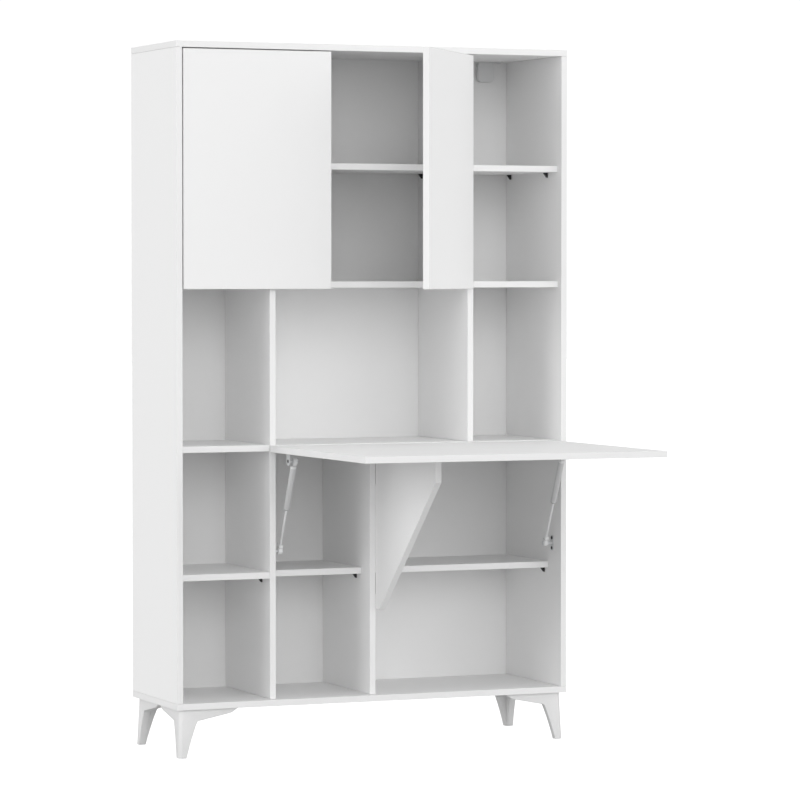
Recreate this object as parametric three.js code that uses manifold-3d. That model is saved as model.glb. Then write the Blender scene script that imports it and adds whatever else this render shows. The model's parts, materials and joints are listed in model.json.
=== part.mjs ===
// Tall secretary bookcase: a white panel carcass on splayed feet, two inset doors above,
// and a fold-out desk leaf carried by a swinging support and two gas struts.
//
// Cabinet coordinates, in millimetres: X runs right from the left side's outer face, Y runs
// back from the carcass's front edges, Z runs up from the underside of the bottom board.
// The exported group is shifted so that its origin is the centre of the floor footprint.

import * as THREE from 'three';
import Module from 'manifold-3d';
import { mergeVertices } from 'three/addons/utils/BufferGeometryUtils.js';

const wasm = await Module();
wasm.setup();

// ---- driving dimensions -------------------------------------------------------------

const GAP = 0.3; // between pieces that touch
const OVERLAP = 1; // how far joined shapes run into each other, and cutting shapes run past a face
const BOARD = 16;
const WIDTH = 1073.5;
const DEPTH = 343;
const HEIGHT = 1668;
const BACK_SHEET = 3;
const BACK_INSET = 2; // back sheets stop this far inside the carcass's outline
const SETBACK = 20; // dividers and fixed boards behind the front edges
const SHELF_SETBACK = 24; // loose shelves behind the doors
const LOW_SHELF_SETBACK = 77; // shelves behind the folded support

const INNER_LEFT = BOARD;
const INNER_RIGHT = WIDTH - BOARD;
const LEFT_DIVIDER_X = 255.5;
const LOWER_DIVIDER_X = 528;
const RIGHT_DIVIDER_X = 800.6;
const LOW_SHELF_Z = 321;
const DESK_Z = 642;
const UPPER_FLOOR_Z = 1054;
const UPPER_SHELF_Z = 1353;

const FOOT_HEIGHT = 122;
const FOOT_INSET = 12; // top of a foot inside the carcass's outline
const FOOT_SPLAY = 5; // how far the sole leans out over the foot's height
const FOOT_THICKNESS = 18;
const FOOT_CHAMFER = 7;
const FOOT_SOLE = 20.5;
const FOOT_LENGTH = 156; // of a wing under the carcass
const FOOT_LEG = { bend: [33, -68], end: [46, -34] }; // leg's inner edge above the sole
const FOOT_KNEE = { bend: [47.5, -30.4], end: [52, -29.6] };
const FOOT_WING = { start: [132, -13.8], bend: [139, -12.4], end: [143, -9] };

const DOOR_FRONT = 0;
const DOOR_BOTTOM = 1051;
const DOOR_TOP = 1649;
const LEFT_DOOR = { edge: 19, width: 396, side: 1 };
const RIGHT_DOOR = { edge: 815.6, width: 397.6, side: -1 };
const RIGHT_DOOR_OPEN = THREE.MathUtils.degToRad(50);
const PIVOT_FROM_EDGE = 11; // a door turns about a line in its front face, this far in

const CUP_HEIGHTS = [1151, 1549];
const CUP_FROM_EDGE = 22.5;
const CUP_RADIUS = 17.2;
const CUP_DEPTH = 11.5;
const CUP_WALL = 1.4;
const CUP_FLANGE = { along: 60, across: 24, thick: 1.5, corner: 10 };
const LINK_PIVOT = { u: 24, v: 10 }; // from the door's hinge edge and front face
const LINK_PIN_RADIUS = 1.5;
const LINK_SHARE = 0.1; // of the door's turn that the link turns in the cabinet
const LINK_WIDTH = 6.4;
const LINK_HEIGHT = 7;
const LINK_CORNER = 1;
const LINK_EYE_RADIUS = 3.6;
const LINK_CURVE = [[0, 0], [8.5, 9], [11.5, 20], [8.5, 31], [2, 42], [0, 52], [0, 60]]; // from the pin
const ARM_START = 21;
const ARM_END = 82;
const ARM_REACH = 33;
const ARM_SHEET = 1.5;
const ARM_HALF_GAP = 4.6;
const ARM_WEB = RIGHT_DOOR.edge - RIGHT_DIVIDER_X + GAP; // from either door's hinge edge
const ARM_BASE = { from: 37, to: 70, half: 17, thick: 2.5 };

const LEAF_RIGHT = INNER_RIGHT - 1.5;
const LEAF_BACK = 18;
const LEAF_DEPTH = 628;
const LEAF_Z = DESK_Z - 2; // its underside, a little lower than the desk board's
const LEAF_HINGE_CENTRES = [326, 985]; // clear of the folded support
const LEAF_HINGE_LENGTH = 66;
const HINGE_BARREL = 2.4;
const HINGE_SHEET = 1.2;
const HINGE_PIN = 1.2;
const HINGE_LEAF = 25;
const HINGE_CLEARANCE = 0.8; // between a barrel and the other leaf's sheet
const LEAF_AXIS = { y: 19, z: LEAF_Z - GAP - HINGE_BARREL };

const SUPPORT_LEFT = LOWER_DIVIDER_X + BOARD + 0.5;
const SUPPORT_BACK = 20.5;
const SUPPORT_TOP = LEAF_Z - 0.5;
const SUPPORT_REACH = 362;
const SUPPORT_TIP = 63.5;
const SUPPORT_BOTTOM = 235;
const SUPPORT_HEEL = -4; // where its slanting edge meets its short bottom
const SUPPORT_HINGE_HEIGHTS = [300, 580];
const SUPPORT_HINGE_LENGTH = 54;
const SUPPORT_HINGE_LEAF = 13;
const SUPPORT_AXIS = {
  x: LOWER_DIVIDER_X + BOARD + GAP + HINGE_BARREL,
  y: SUPPORT_BACK + GAP + HINGE_BARREL,
};

const STRUT_LOW = { y: 50, z: 387.5 };
const STRUT_HIGH = { y: -54, z: 620 };
const STRUT_OFFSET = 21.5; // strut's axis from the wall that carries it
const STRUT_EYE = { radius: 8, width: 10, neck: 12, length: 19 };
const STUD_RADIUS = 4;
const STUD_HEAD = { radius: 5.5, thick: 2 };
const ROD_RADIUS = 3;
const ROD_END = 196;
const TUBE_RADIUS = 7.5;
const TUBE_START = 118.5;
const TUBE_BORE_END = 222;
const TUBE_END_FROM_PIVOT = 12;
const TUBE_LIP = 1.5;
const ROD_FROM_PIVOT = 10;
const LOW_PLATE = { along: 40, across: 15, thick: 2, corner: 6 };
const HIGH_EAR = { near: 4.5, thick: 2, radius: 11 };
const HIGH_FLANGE = { along: 40, thick: 1.8 };

const HANGER = { left: 968, width: 46.5, height: 52.5, depth: 15, corner: 10 };
const HANGER_LIP = { length: 68, thick: 2 };

// ---- finishes -----------------------------------------------------------------------

const FINISHES = {
  laminate: { color: 0xeceded, roughness: 0.55, metalness: 0 },
  backSheet: { color: 0xe4e5e5, roughness: 0.65, metalness: 0 },
  foot: { color: 0xe8e9e9, roughness: 0.5, metalness: 0 },
  hingeSteel: { color: 0xb9bcc0, roughness: 0.3, metalness: 0.9 },
  strutTube: { color: 0xa9acaf, roughness: 0.38, metalness: 0.35 },
  strutRod: { color: 0xc9ccce, roughness: 0.2, metalness: 0.95 },
  bracket: { color: 0xd2d4d6, roughness: 0.4, metalness: 0.3 },
  hanger: { color: 0xb4b7ba, roughness: 0.45, metalness: 0.2 },
};

const cabinet = new THREE.Group();

// ---- helpers ------------------------------------------------------------------------

/** Adds one named mesh to a group. */
function addPiece(parent, name, geometry, finish) {
  const mesh = new THREE.Mesh(geometry, new THREE.MeshStandardMaterial(FINISHES[finish]));
  mesh.name = name;
  parent.add(mesh);
  return mesh;
}

/** A box between two corners. */
function boxBetween([x0, y0, z0], [x1, y1, z1]) {
  const box = new THREE.BoxGeometry(x1 - x0, y1 - y0, z1 - z0);
  return box.translate((x0 + x1) / 2, (y0 + y1) / 2, (z0 + z1) / 2);
}

/** A board given by its three spans, added to the cabinet. */
function addBoard(name, [x0, x1], [y0, y1], [z0, z1], finish = 'laminate') {
  return addPiece(cabinet, name, boxBetween([x0, y0, z0], [x1, y1, z1]), finish);
}

/** A cylinder along X, Y or Z from one place on that axis to another. */
function rod(axis, from, to, radius, [a, b], segments = 24) {
  const geometry = new THREE.CylinderGeometry(radius, radius, to - from, segments);
  const middle = (from + to) / 2;
  if (axis === 'x') return geometry.rotateZ(Math.PI / 2).translate(middle, a, b);
  if (axis === 'y') return geometry.translate(a, middle, b);
  return geometry.rotateX(Math.PI / 2).translate(a, b, middle);
}

/** A flat outline drawn in a plane and pushed along that plane's normal. */
function extrudeOutline(shape, thickness) {
  return new THREE.ExtrudeGeometry(shape, { depth: thickness, bevelEnabled: false, curveSegments: 5 });
}

/** Turns a geometry drawn in (a, b, depth) so that a runs along Y, b along Z, depth along X. */
function standInYZ(geometry) {
  const basis = new THREE.Matrix4().makeBasis(
    new THREE.Vector3(0, 1, 0), new THREE.Vector3(0, 0, 1), new THREE.Vector3(1, 0, 0),
  );
  return geometry.applyMatrix4(basis);
}

/** A closed geometry as a solid. */
function toSolid(geometry) {
  const bare = geometry.clone();
  bare.deleteAttribute('normal');
  bare.deleteAttribute('uv');
  const merged = mergeVertices(bare, 1e-4);
  return new wasm.Manifold(new wasm.Mesh({
    numProp: 3,
    vertProperties: new Float32Array(merged.attributes.position.array),
    triVerts: new Uint32Array(merged.index.array),
  }));
}

/** A solid as a geometry. */
function toGeometry(solid) {
  const mesh = solid.getMesh();
  const geometry = new THREE.BufferGeometry();
  geometry.setAttribute('position', new THREE.BufferAttribute(new Float32Array(mesh.vertProperties), 3));
  geometry.setIndex(new THREE.BufferAttribute(new Uint32Array(mesh.triVerts), 1));
  geometry.computeVertexNormals();
  return geometry;
}

/** Joins the first list of geometries and cuts the second from the result. */
function joinAndCut(joined, cuts = []) {
  let solid = joined.map(toSolid).reduce((sum, next) => sum.add(next));
  for (const cut of cuts) solid = solid.subtract(toSolid(cut));
  return toGeometry(solid);
}

/** A rectangle with rounded corners, centred on the origin. */
function roundedRectangle(width, height, radius) {
  const [x, y] = [width / 2, height / 2];
  const shape = new THREE.Shape();
  shape.moveTo(radius - x, -y);
  shape.lineTo(x - radius, -y);
  shape.absarc(x - radius, radius - y, radius, -Math.PI / 2, 0);
  shape.lineTo(x, y - radius);
  shape.absarc(x - radius, y - radius, radius, 0, Math.PI / 2);
  shape.lineTo(radius - x, y);
  shape.absarc(radius - x, y - radius, radius, Math.PI / 2, Math.PI);
  shape.lineTo(-x, radius - y);
  shape.absarc(radius - x, radius - y, radius, Math.PI, Math.PI * 1.5);
  return shape;
}

// ---- carcass ------------------------------------------------------------------------

/** Outer boards, and the sheets nailed on behind them. */
function buildShell() {
  const [left, right] = [[0, BOARD], [INNER_RIGHT, WIDTH]];
  const between = [BOARD + GAP, HEIGHT - BOARD - GAP];
  addBoard('bottom_panel', [0, WIDTH], [0, DEPTH], [0, BOARD]);
  addBoard('top_panel', [0, WIDTH], [0, DEPTH], [HEIGHT - BOARD, HEIGHT]);
  addBoard('left_side_panel', left, [0, DEPTH], between);
  addBoard('right_side_panel', right, [0, DEPTH], between);

  const behind = [DEPTH + GAP, DEPTH + GAP + BACK_SHEET];
  const seamX = LEFT_DIVIDER_X + BOARD / 2;
  const seamZ = UPPER_FLOOR_Z + BOARD / 2;
  const [lowX, highX] = [BACK_INSET, WIDTH - BACK_INSET];
  addBoard('back_sheet_left', [lowX, seamX - GAP], behind, [BACK_INSET, seamZ - GAP], 'backSheet');
  addBoard('back_sheet_right', [seamX + GAP, highX], behind, [BACK_INSET, seamZ - GAP], 'backSheet');
  addBoard('back_sheet_upper', [lowX, highX], behind, [seamZ + GAP, HEIGHT - BACK_INSET], 'backSheet');
}

/** Fixed dividers and the boards that run between them. */
function buildDividers() {
  const depth = [SETBACK, DEPTH];
  const belowDesk = [BOARD + GAP, DESK_Z - GAP];
  const deskBay = [DESK_Z + BOARD + GAP, UPPER_FLOOR_Z - GAP];
  const aboveFloor = [UPPER_FLOOR_Z + BOARD + GAP, HEIGHT - BOARD - GAP];
  const upTo = (x) => [x, x + BOARD];
  addBoard('left_divider', upTo(LEFT_DIVIDER_X), depth, [BOARD + GAP, UPPER_FLOOR_Z - GAP]);
  addBoard('lower_divider', upTo(LOWER_DIVIDER_X), depth, belowDesk);
  addBoard('right_divider', upTo(RIGHT_DIVIDER_X), depth, deskBay);
  addBoard('upper_divider', upTo(RIGHT_DIVIDER_X), depth, aboveFloor);
  const deskStart = LEFT_DIVIDER_X + BOARD + GAP;
  addBoard('upper_floor', [INNER_LEFT + GAP, INNER_RIGHT - GAP], depth, upTo(UPPER_FLOOR_Z));
  addBoard('desk_board', [deskStart, INNER_RIGHT - GAP], depth, upTo(DESK_Z));
}

/** Shelves between the uprights: [name, left face, right face, setback, height]. */
function buildShelves() {
  const afterLeft = LEFT_DIVIDER_X + BOARD;
  const afterLower = LOWER_DIVIDER_X + BOARD;
  const afterRight = RIGHT_DIVIDER_X + BOARD;
  const shelves = [
    ['left_desk_shelf', INNER_LEFT, LEFT_DIVIDER_X, SETBACK, DESK_Z],
    ['left_lower_shelf', INNER_LEFT, LEFT_DIVIDER_X, SETBACK, LOW_SHELF_Z],
    ['upper_shelf_wide', INNER_LEFT, RIGHT_DIVIDER_X, SHELF_SETBACK, UPPER_SHELF_Z],
    ['upper_shelf_right', afterRight, INNER_RIGHT, SHELF_SETBACK, UPPER_SHELF_Z],
    ['lower_shelf_middle', afterLeft, LOWER_DIVIDER_X, LOW_SHELF_SETBACK, LOW_SHELF_Z],
    ['lower_shelf_right', afterLower, INNER_RIGHT, LOW_SHELF_SETBACK, LOW_SHELF_Z],
  ];
  for (const [name, left, right, setback, height] of shelves) {
    addBoard(name, [left + GAP, right - GAP], [setback, DEPTH], [height, height + BOARD]);
  }
}

/** One wing of a foot in its own plane: the leg, its knee and the tapering bracket. */
function footWing() {
  const shape = new THREE.Shape();
  shape.moveTo(0, -GAP);
  shape.lineTo(0, -FOOT_HEIGHT);
  shape.lineTo(FOOT_SOLE, -FOOT_HEIGHT);
  shape.quadraticCurveTo(...FOOT_LEG.bend, ...FOOT_LEG.end);
  shape.quadraticCurveTo(...FOOT_KNEE.bend, ...FOOT_KNEE.end);
  shape.lineTo(...FOOT_WING.start);
  shape.quadraticCurveTo(...FOOT_WING.bend, ...FOOT_WING.end);
  shape.lineTo(FOOT_LENGTH, -GAP);
  return shape;
}

/** A foot for the corner at the origin, its wings running along +X and +Y. */
function footGeometry() {
  const upright = new THREE.Matrix4().makeBasis(
    new THREE.Vector3(1, 0, 0), new THREE.Vector3(0, 0, 1), new THREE.Vector3(0, -1, 0),
  );
  const alongX = extrudeOutline(footWing(), FOOT_THICKNESS);
  alongX.applyMatrix4(upright).translate(0, FOOT_THICKNESS, 0);
  const alongY = standInYZ(extrudeOutline(footWing(), FOOT_THICKNESS));
  const side = FOOT_CHAMFER * Math.SQRT2;
  const chamfer = new THREE.BoxGeometry(side, side, FOOT_HEIGHT * 3).rotateZ(Math.PI / 4);
  const geometry = joinAndCut([alongX, alongY], [chamfer]);
  const lean = FOOT_SPLAY / FOOT_HEIGHT;
  const shear = new THREE.Matrix4().set(1, 0, lean, 0, 0, 1, lean, 0, 0, 0, 1, 0, 0, 0, 0, 1);
  return geometry.applyMatrix4(shear);
}

/** The four feet, each turned so that its chamfered corner faces out. */
function buildFeet() {
  const [left, right] = [FOOT_INSET, WIDTH - FOOT_INSET];
  const [front, back] = [FOOT_INSET, DEPTH - FOOT_INSET];
  const corners = [
    ['foot_front_left', left, front, 0],
    ['foot_front_right', right, front, Math.PI / 2],
    ['foot_back_right', right, back, Math.PI],
    ['foot_back_left', left, back, -Math.PI / 2],
  ];
  for (const [name, x, y, turn] of corners) {
    const foot = addPiece(cabinet, name, footGeometry(), 'foot');
    foot.position.set(x, y, 0);
    foot.rotation.z = turn;
  }
}

/** Capped wall hanger under the top board against the back, its lip longer to lipSide. */
function hangerGeometry(lipSide) {
  const top = HEIGHT - BOARD - GAP;
  const cap = extrudeOutline(roundedRectangle(HANGER.width, HANGER.height, HANGER.corner), HANGER.depth);
  cap.rotateX(Math.PI / 2).translate(0, DEPTH, top - HANGER.height / 2);
  const from = lipSide > 0 ? -HANGER.width / 2 : HANGER.width / 2 - HANGER_LIP.length;
  const front = DEPTH - HANGER.depth;
  const lip = boxBetween([from, front, top - HANGER_LIP.thick], [from + HANGER_LIP.length, DEPTH, top]);
  return joinAndCut([cap, lip]);
}

/** The hanger in the right column and its twin in the left half. */
function buildHangers() {
  const centre = HANGER.left + HANGER.width / 2;
  const places = [['wall_hanger_right', centre, 1], ['wall_hanger_left', WIDTH - centre, -1]];
  for (const [name, x, lipSide] of places) {
    addPiece(cabinet, name, hangerGeometry(lipSide), 'hanger').position.x = x;
  }
}

// ---- doors and their concealed hinges -----------------------------------------------
// A door is drawn closed, in its own frame: u runs from its hinge edge across the door,
// v from its front face backwards. side is +1 where u runs along +X, and -1 along -X.

/** The group that a door's pieces go in, with its hinge edge at the origin, turned open. */
function doorGroup(door, opening) {
  const pivot = new THREE.Group();
  pivot.position.set(door.edge + door.side * PIVOT_FROM_EDGE, DOOR_FRONT, 0);
  pivot.rotation.z = -door.side * opening;
  cabinet.add(pivot);
  const group = new THREE.Group();
  group.position.x = -door.side * PIVOT_FROM_EDGE;
  pivot.add(group);
  return group;
}

/** The slab with its cup bores. */
function doorGeometry(door) {
  const free = door.side * door.width;
  const [low, high] = [Math.min(0, free), Math.max(0, free)];
  const slab = boxBetween([low, 0, DOOR_BOTTOM], [high, BOARD, DOOR_TOP]);
  const bores = CUP_HEIGHTS.map((z) => rod(
    'y', BOARD - CUP_DEPTH - GAP, BOARD + OVERLAP, CUP_RADIUS + GAP, [door.side * CUP_FROM_EDGE, z], 32,
  ));
  return joinAndCut([slab], bores);
}

/** A hinge cup: an open bowl in the door's back, its screw flange and its cross pin. */
function cupGeometry(door, z) {
  const x = door.side * CUP_FROM_EDGE;
  const mouth = BOARD + GAP + CUP_FLANGE.thick;
  const bowl = rod('y', BOARD - CUP_DEPTH, mouth - CUP_FLANGE.thick / 2, CUP_RADIUS, [x, z], 32);
  const outline = roundedRectangle(CUP_FLANGE.across, CUP_FLANGE.along, CUP_FLANGE.corner);
  const flange = extrudeOutline(outline, CUP_FLANGE.thick);
  flange.rotateX(Math.PI / 2).translate(x, mouth, z);
  const hollow = rod('y', BOARD - CUP_DEPTH + CUP_WALL, mouth + OVERLAP, CUP_RADIUS - CUP_WALL, [x, z], 32);
  const shell = toSolid(joinAndCut([bowl, flange], [hollow]));
  const half = CUP_RADIUS - CUP_WALL / 2;
  const pin = rod('z', z - half, z + half, LINK_PIN_RADIUS, [door.side * LINK_PIVOT.u, LINK_PIVOT.v], 12);
  return toGeometry(shell.add(toSolid(pin)));
}

/** The gooseneck link, drawn from its pin at the origin to its sliding end along +Y. */
function linkGeometry(door) {
  const centreLine = new THREE.CatmullRomCurve3(
    LINK_CURVE.map(([u, v]) => new THREE.Vector3(door.side * u, v, 0)),
  );
  const section = roundedRectangle(LINK_HEIGHT, LINK_WIDTH, LINK_CORNER);
  const bar = new THREE.ExtrudeGeometry(section, { extrudePath: centreLine, steps: 14, curveSegments: 1 });
  const eye = rod('z', -LINK_HEIGHT / 2, LINK_HEIGHT / 2, LINK_EYE_RADIUS, [0, 0], 16);
  const bore = rod('z', -LINK_HEIGHT, LINK_HEIGHT, LINK_PIN_RADIUS + GAP, [0, 0], 12);
  return joinAndCut([bar, eye], [bore]);
}

/** The arm that stays on the carcass: a base on the wall and a channel for the link. */
function armGeometry(door, wall, z) {
  const spanX = (a, b) => [Math.min(door.side * a, door.side * b), Math.max(door.side * a, door.side * b)];
  const box = ([u0, u1], [v0, v1], [z0, z1]) => {
    const [x0, x1] = spanX(u0, u1);
    return boxBetween([x0, v0, z + z0], [x1, v1, z + z1]);
  };
  const webEnd = ARM_WEB + ARM_SHEET;
  const outer = ARM_HALF_GAP + ARM_SHEET;
  const along = [ARM_START, ARM_END];
  const base = [ARM_BASE.from, ARM_BASE.to];
  return joinAndCut([
    box([ARM_WEB, webEnd], along, [-outer, outer]),
    box([ARM_WEB, ARM_REACH], along, [ARM_HALF_GAP, outer]),
    box([ARM_WEB, ARM_REACH], along, [-outer, -ARM_HALF_GAP]),
    box([wall + GAP, webEnd], base, [-outer, outer]),
    box([wall + GAP, wall + GAP + ARM_BASE.thick], base, [-ARM_BASE.half, ARM_BASE.half]),
  ]);
}

/** One door with its cups, links and arms. wall is its carrying wall's face, as a u value. */
function buildDoor(label, door, wall, opening) {
  const swung = doorGroup(door, opening);
  addPiece(swung, `${label}_door`, doorGeometry(door), 'laminate');
  const fixed = doorGroup(door, 0);
  CUP_HEIGHTS.forEach((z, index) => {
    const place = ['lower', 'upper'][index];
    addPiece(swung, `${label}_hinge_cup_${place}`, cupGeometry(door, z), 'hingeSteel');
    const link = addPiece(swung, `${label}_hinge_link_${place}`, linkGeometry(door), 'hingeSteel');
    link.position.set(door.side * LINK_PIVOT.u, LINK_PIVOT.v, z);
    link.rotation.z = door.side * opening * (1 - LINK_SHARE);
    addPiece(fixed, `${label}_hinge_arm_${place}`, armGeometry(door, wall, z), 'hingeSteel');
  });
}

// ---- butt hinges --------------------------------------------------------------------

/**
 * One leaf of a butt hinge about the Z axis: a sheet along +X, flush with the barrel's +Y
 * side. The fixed leaf has the two end knuckles and the pin, the moving one the middle.
 * packing thickens the sheet towards what it is screwed to.
 */
function hingeLeaf(length, width, isFixed, packing = 0) {
  const knuckle = length / 3;
  const spans = isFixed
    ? [[-length / 2, -knuckle / 2 - GAP], [knuckle / 2 + GAP, length / 2]]
    : [[-knuckle / 2, knuckle / 2]];
  const clear = HINGE_BARREL + HINGE_CLEARANCE;
  const [low, high] = [HINGE_BARREL - HINGE_SHEET, HINGE_BARREL];
  const pieces = [boxBetween([clear, low, -length / 2], [width, high + packing, length / 2])];
  for (const [from, to] of spans) {
    pieces.push(rod('z', from, to, HINGE_BARREL, [0, 0], 16));
    pieces.push(boxBetween([0, low, from], [clear + OVERLAP, high, to]));
  }
  if (isFixed) return joinAndCut([...pieces, rod('z', -length / 2, length / 2, HINGE_PIN, [0, 0], 12)]);
  return joinAndCut(pieces, [rod('z', -length, length, HINGE_PIN + GAP, [0, 0], 12)]);
}

/** Places a hinge leaf: its sheet runs along `along` and lies against what `against` faces. */
function placeHingeLeaf(name, geometry, along, against, position) {
  const [x, y] = [new THREE.Vector3(...along), new THREE.Vector3(...against)];
  const basis = new THREE.Matrix4().makeBasis(x, y, new THREE.Vector3().crossVectors(x, y));
  geometry.applyMatrix4(basis).translate(...position);
  addPiece(cabinet, name, geometry, 'hingeSteel');
}

// ---- desk leaf, its support and its struts ------------------------------------------

/** The leaf and its hinges underneath. */
function buildLeaf() {
  const span = [LEAF_BACK - LEAF_DEPTH, LEAF_BACK];
  addBoard('desk_leaf', [LEFT_DIVIDER_X, LEAF_RIGHT], span, [LEAF_Z, LEAF_Z + BOARD]);
  LEAF_HINGE_CENTRES.forEach((x, index) => {
    const place = ['left', 'right'][index];
    const at = [x, LEAF_AXIS.y, LEAF_AXIS.z];
    const fixed = hingeLeaf(LEAF_HINGE_LENGTH, HINGE_LEAF, true, DESK_Z - LEAF_Z);
    const moving = hingeLeaf(LEAF_HINGE_LENGTH, HINGE_LEAF, false);
    placeHingeLeaf(`leaf_hinge_fixed_${place}`, fixed, [0, 1, 0], [0, 0, 1], at);
    placeHingeLeaf(`leaf_hinge_moving_${place}`, moving, [0, -1, 0], [0, 0, 1], at);
  });
}

/** The wedge board that swings out under the leaf, and its two hinges. */
function buildSupport() {
  const outline = new THREE.Shape([
    new THREE.Vector2(SUPPORT_BACK, SUPPORT_TOP),
    new THREE.Vector2(-SUPPORT_REACH, SUPPORT_TOP),
    new THREE.Vector2(-SUPPORT_REACH, SUPPORT_TOP - SUPPORT_TIP),
    new THREE.Vector2(SUPPORT_HEEL, SUPPORT_BOTTOM),
    new THREE.Vector2(SUPPORT_BACK, SUPPORT_BOTTOM),
  ]);
  const board = standInYZ(extrudeOutline(outline, BOARD)).translate(SUPPORT_LEFT, 0, 0);
  addPiece(cabinet, 'swing_support', board, 'laminate');
  SUPPORT_HINGE_HEIGHTS.forEach((z, index) => {
    const place = ['lower', 'upper'][index];
    const at = [SUPPORT_AXIS.x, SUPPORT_AXIS.y, z];
    const fixed = hingeLeaf(SUPPORT_HINGE_LENGTH, HINGE_LEAF, true);
    const moving = hingeLeaf(SUPPORT_HINGE_LENGTH, SUPPORT_HINGE_LEAF, false);
    placeHingeLeaf(`support_hinge_fixed_${place}`, fixed, [0, 1, 0], [-1, 0, 0], at);
    placeHingeLeaf(`support_hinge_moving_${place}`, moving, [1, 0, 0], [0, -1, 0], at);
  });
}

const STRUT_LENGTH = Math.hypot(STRUT_HIGH.y - STRUT_LOW.y, STRUT_HIGH.z - STRUT_LOW.z);
const STRUT_LEAN = Math.atan2(STRUT_LOW.y - STRUT_HIGH.y, STRUT_HIGH.z - STRUT_LOW.z);

/** A strut's eye end with its neck towards `side` of the pivot, in the strut's own frame. */
function strutEye(height, side) {
  const [low, high] = [-STRUT_EYE.width / 2, STRUT_EYE.width / 2];
  const eye = rod('x', low, high, STRUT_EYE.radius, [0, height]);
  const neckEnd = height + side * STRUT_EYE.length;
  const neck = boxBetween(
    [low, -STRUT_EYE.neck / 2, Math.min(height, neckEnd)],
    [high, STRUT_EYE.neck / 2, Math.max(height, neckEnd)],
  );
  return [eye, neck];
}

/** The rod with its lower eye, standing along +Z from the lower pivot. */
function strutRodGeometry() {
  const bore = rod('x', -STRUT_EYE.width, STRUT_EYE.width, STUD_RADIUS + GAP, [0, 0]);
  return joinAndCut([...strutEye(0, 1), rod('z', ROD_FROM_PIVOT, ROD_END, ROD_RADIUS, [0, 0], 16)], [bore]);
}

/** The tube with its upper eye. Its bore is open at the bottom for the rod. */
function strutTubeGeometry() {
  const [inner, outer] = [ROD_RADIUS + GAP, TUBE_RADIUS];
  const [start, end] = [TUBE_START, STRUT_LENGTH - TUBE_END_FROM_PIVOT];
  const profile = [
    [0, TUBE_BORE_END], [inner, TUBE_BORE_END], [inner, start], [outer - TUBE_LIP, start],
    [outer, start + TUBE_LIP], [outer, end], [0, end], [0, TUBE_BORE_END],
  ].map(([radius, height]) => new THREE.Vector2(radius, height));
  const tube = new THREE.LatheGeometry(profile, 24).rotateX(Math.PI / 2);
  const bore = rod('x', -STRUT_EYE.width, STRUT_EYE.width, STUD_RADIUS + 2 * GAP, [0, STRUT_LENGTH]);
  return joinAndCut([tube, ...strutEye(STRUT_LENGTH, -1)], [bore]);
}

/** The stud and head that an eye turns on, from `from` outwards, at (y, z). */
function studPieces(side, from, { y, z }) {
  const eyeEnd = STRUT_OFFSET + STRUT_EYE.width / 2 + GAP;
  const [a, b, c] = [side * from, side * eyeEnd, side * (eyeEnd + STUD_HEAD.thick)];
  return [
    rod('x', Math.min(a, c), Math.max(a, c), STUD_RADIUS, [y, z]),
    rod('x', Math.min(b, c), Math.max(b, c), STUD_HEAD.radius, [y, z]),
  ];
}

/** The wall plate under the desk, with its stud. */
function lowMountGeometry(side) {
  const outline = roundedRectangle(LOW_PLATE.across, LOW_PLATE.along, LOW_PLATE.corner);
  const plate = standInYZ(extrudeOutline(outline, LOW_PLATE.thick));
  const near = side > 0 ? GAP : -GAP - LOW_PLATE.thick;
  plate.translate(near, STRUT_LOW.y, STRUT_LOW.z);
  return joinAndCut([plate, ...studPieces(side, OVERLAP, STRUT_LOW)]);
}

/** The bracket under the leaf: a screw flange, a rounded ear and the stud. */
function highMountGeometry(side) {
  const top = LEAF_Z - GAP;
  const eyeEnd = STRUT_OFFSET + STRUT_EYE.width / 2 + GAP + STUD_HEAD.thick;
  const spanX = (a, b) => [Math.min(side * a, side * b), Math.max(side * a, side * b)];
  const { y, z } = STRUT_HIGH;
  const [f0, f1] = spanX(HIGH_EAR.near, eyeEnd);
  const [e0, e1] = spanX(HIGH_EAR.near, HIGH_EAR.near + HIGH_EAR.thick);
  const half = HIGH_FLANGE.along / 2;
  return joinAndCut([
    boxBetween([f0, y - half, top - HIGH_FLANGE.thick], [f1, y + half, top]),
    boxBetween([e0, y - HIGH_EAR.radius, z], [e1, y + HIGH_EAR.radius, top]),
    rod('x', e0, e1, HIGH_EAR.radius, [y, z]),
    ...studPieces(side, HIGH_EAR.near + OVERLAP, STRUT_HIGH),
  ]);
}

/** Both gas struts: the left one on the left divider, the right one on the right side. */
function buildStruts() {
  const places = [['left', LEFT_DIVIDER_X + BOARD, 1], ['right', INNER_RIGHT, -1]];
  for (const [label, wall, side] of places) {
    addPiece(cabinet, `strut_mount_low_${label}`, lowMountGeometry(side), 'bracket').position.x = wall;
    addPiece(cabinet, `strut_mount_high_${label}`, highMountGeometry(side), 'bracket').position.x = wall;
    const strut = new THREE.Group();
    strut.position.set(wall + side * STRUT_OFFSET, STRUT_LOW.y, STRUT_LOW.z);
    strut.rotation.x = STRUT_LEAN;
    cabinet.add(strut);
    addPiece(strut, `strut_rod_${label}`, strutRodGeometry(), 'strutRod');
    addPiece(strut, `strut_tube_${label}`, strutTubeGeometry(), 'strutTube');
  }
}

// ---- assembly -----------------------------------------------------------------------

buildShell();
buildDividers();
buildShelves();
buildFeet();
buildHangers();
buildDoor('left', LEFT_DOOR, INNER_LEFT - LEFT_DOOR.edge, 0);
buildDoor('right', RIGHT_DOOR, RIGHT_DOOR.edge - RIGHT_DIVIDER_X, RIGHT_DOOR_OPEN);
buildLeaf();
buildSupport();
buildStruts();

const frontmost = LEAF_BACK - LEAF_DEPTH;
const rearmost = DEPTH + GAP + BACK_SHEET;
cabinet.position.set(-WIDTH / 2, -(frontmost + rearmost) / 2, FOOT_HEIGHT);

export default new THREE.Group().add(cabinet);
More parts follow.
